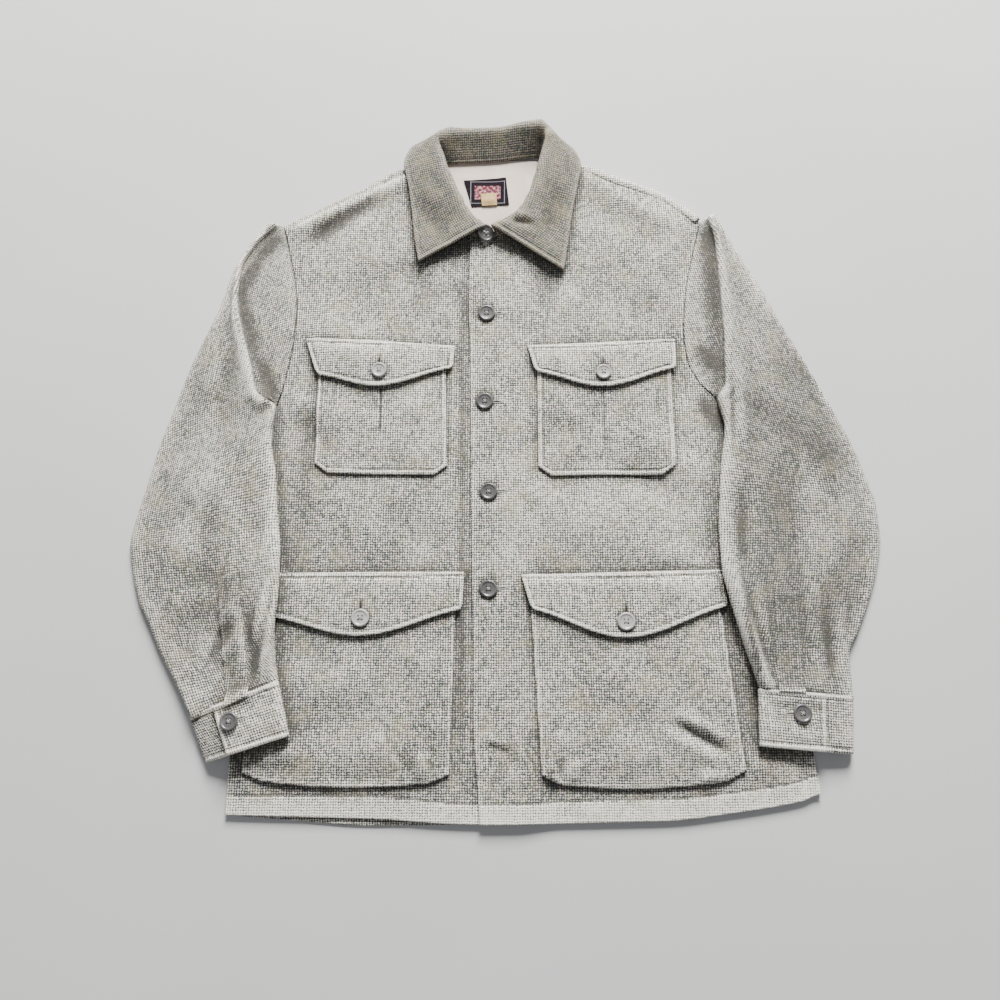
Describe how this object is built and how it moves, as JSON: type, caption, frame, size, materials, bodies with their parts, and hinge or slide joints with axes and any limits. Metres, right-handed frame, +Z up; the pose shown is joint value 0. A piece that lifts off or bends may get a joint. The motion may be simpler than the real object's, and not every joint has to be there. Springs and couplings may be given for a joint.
{
  "type": "mackinaw jacket",
  "caption": "Heavy checked wool work jacket, buttoned and laid flat on its back, with a turned-down collar, flapped chest and hip pockets and buttoned cuffs.",
  "frame": {"origin": "on the surface the jacket lies on, under the middle of its box", "axes": "+X to the wearer's left, +Y from hem to collar, +Z up out of the surface, front of the jacket up"},
  "size_m": [0.8503, 0.8359, 0.0306],
  "materials": {
    "wool": "napped wool with a tiny grey and cream check",
    "collar_wool": "the same wool, doubled and stitched at the edge",
    "lining": "smooth cream lining",
    "label": "woven plain dark label",
    "tab": "woven tan tab",
    "dark_button": "dark grey, mottled, glossy",
    "light_button": "pale pearl grey, glossy"
  },
  "bodies": {
    "root": {"back": "wool", "front_right": "wool", "front_left": "wool", "sleeve_right": "wool", "sleeve_left": "wool", "cuff_right": "wool", "cuff_left": "wool", "placket_right": "wool", "placket_left": "wool", "chest_pocket_right": "wool", "chest_pocket_left": "wool", "chest_flap_right": "wool", "chest_flap_left": "wool", "hip_pocket_right": "wool", "hip_pocket_left": "wool", "hip_flap_right": "wool", "hip_flap_left": "wool", "collar": "collar_wool", "neck_lining": "lining", "neck_label": "label", "size_tab": "tab", "button_front_1": "dark_button", "button_front_2": "dark_button", "button_front_3": "dark_button", "button_front_4": "dark_button", "button_front_5": "dark_button", "button_cuff_right": "dark_button", "button_cuff_left": "dark_button", "button_chest_right": "light_button", "button_chest_left": "light_button", "button_hip_right": "light_button", "button_hip_left": "light_button"}
  },
  "joints": []
}
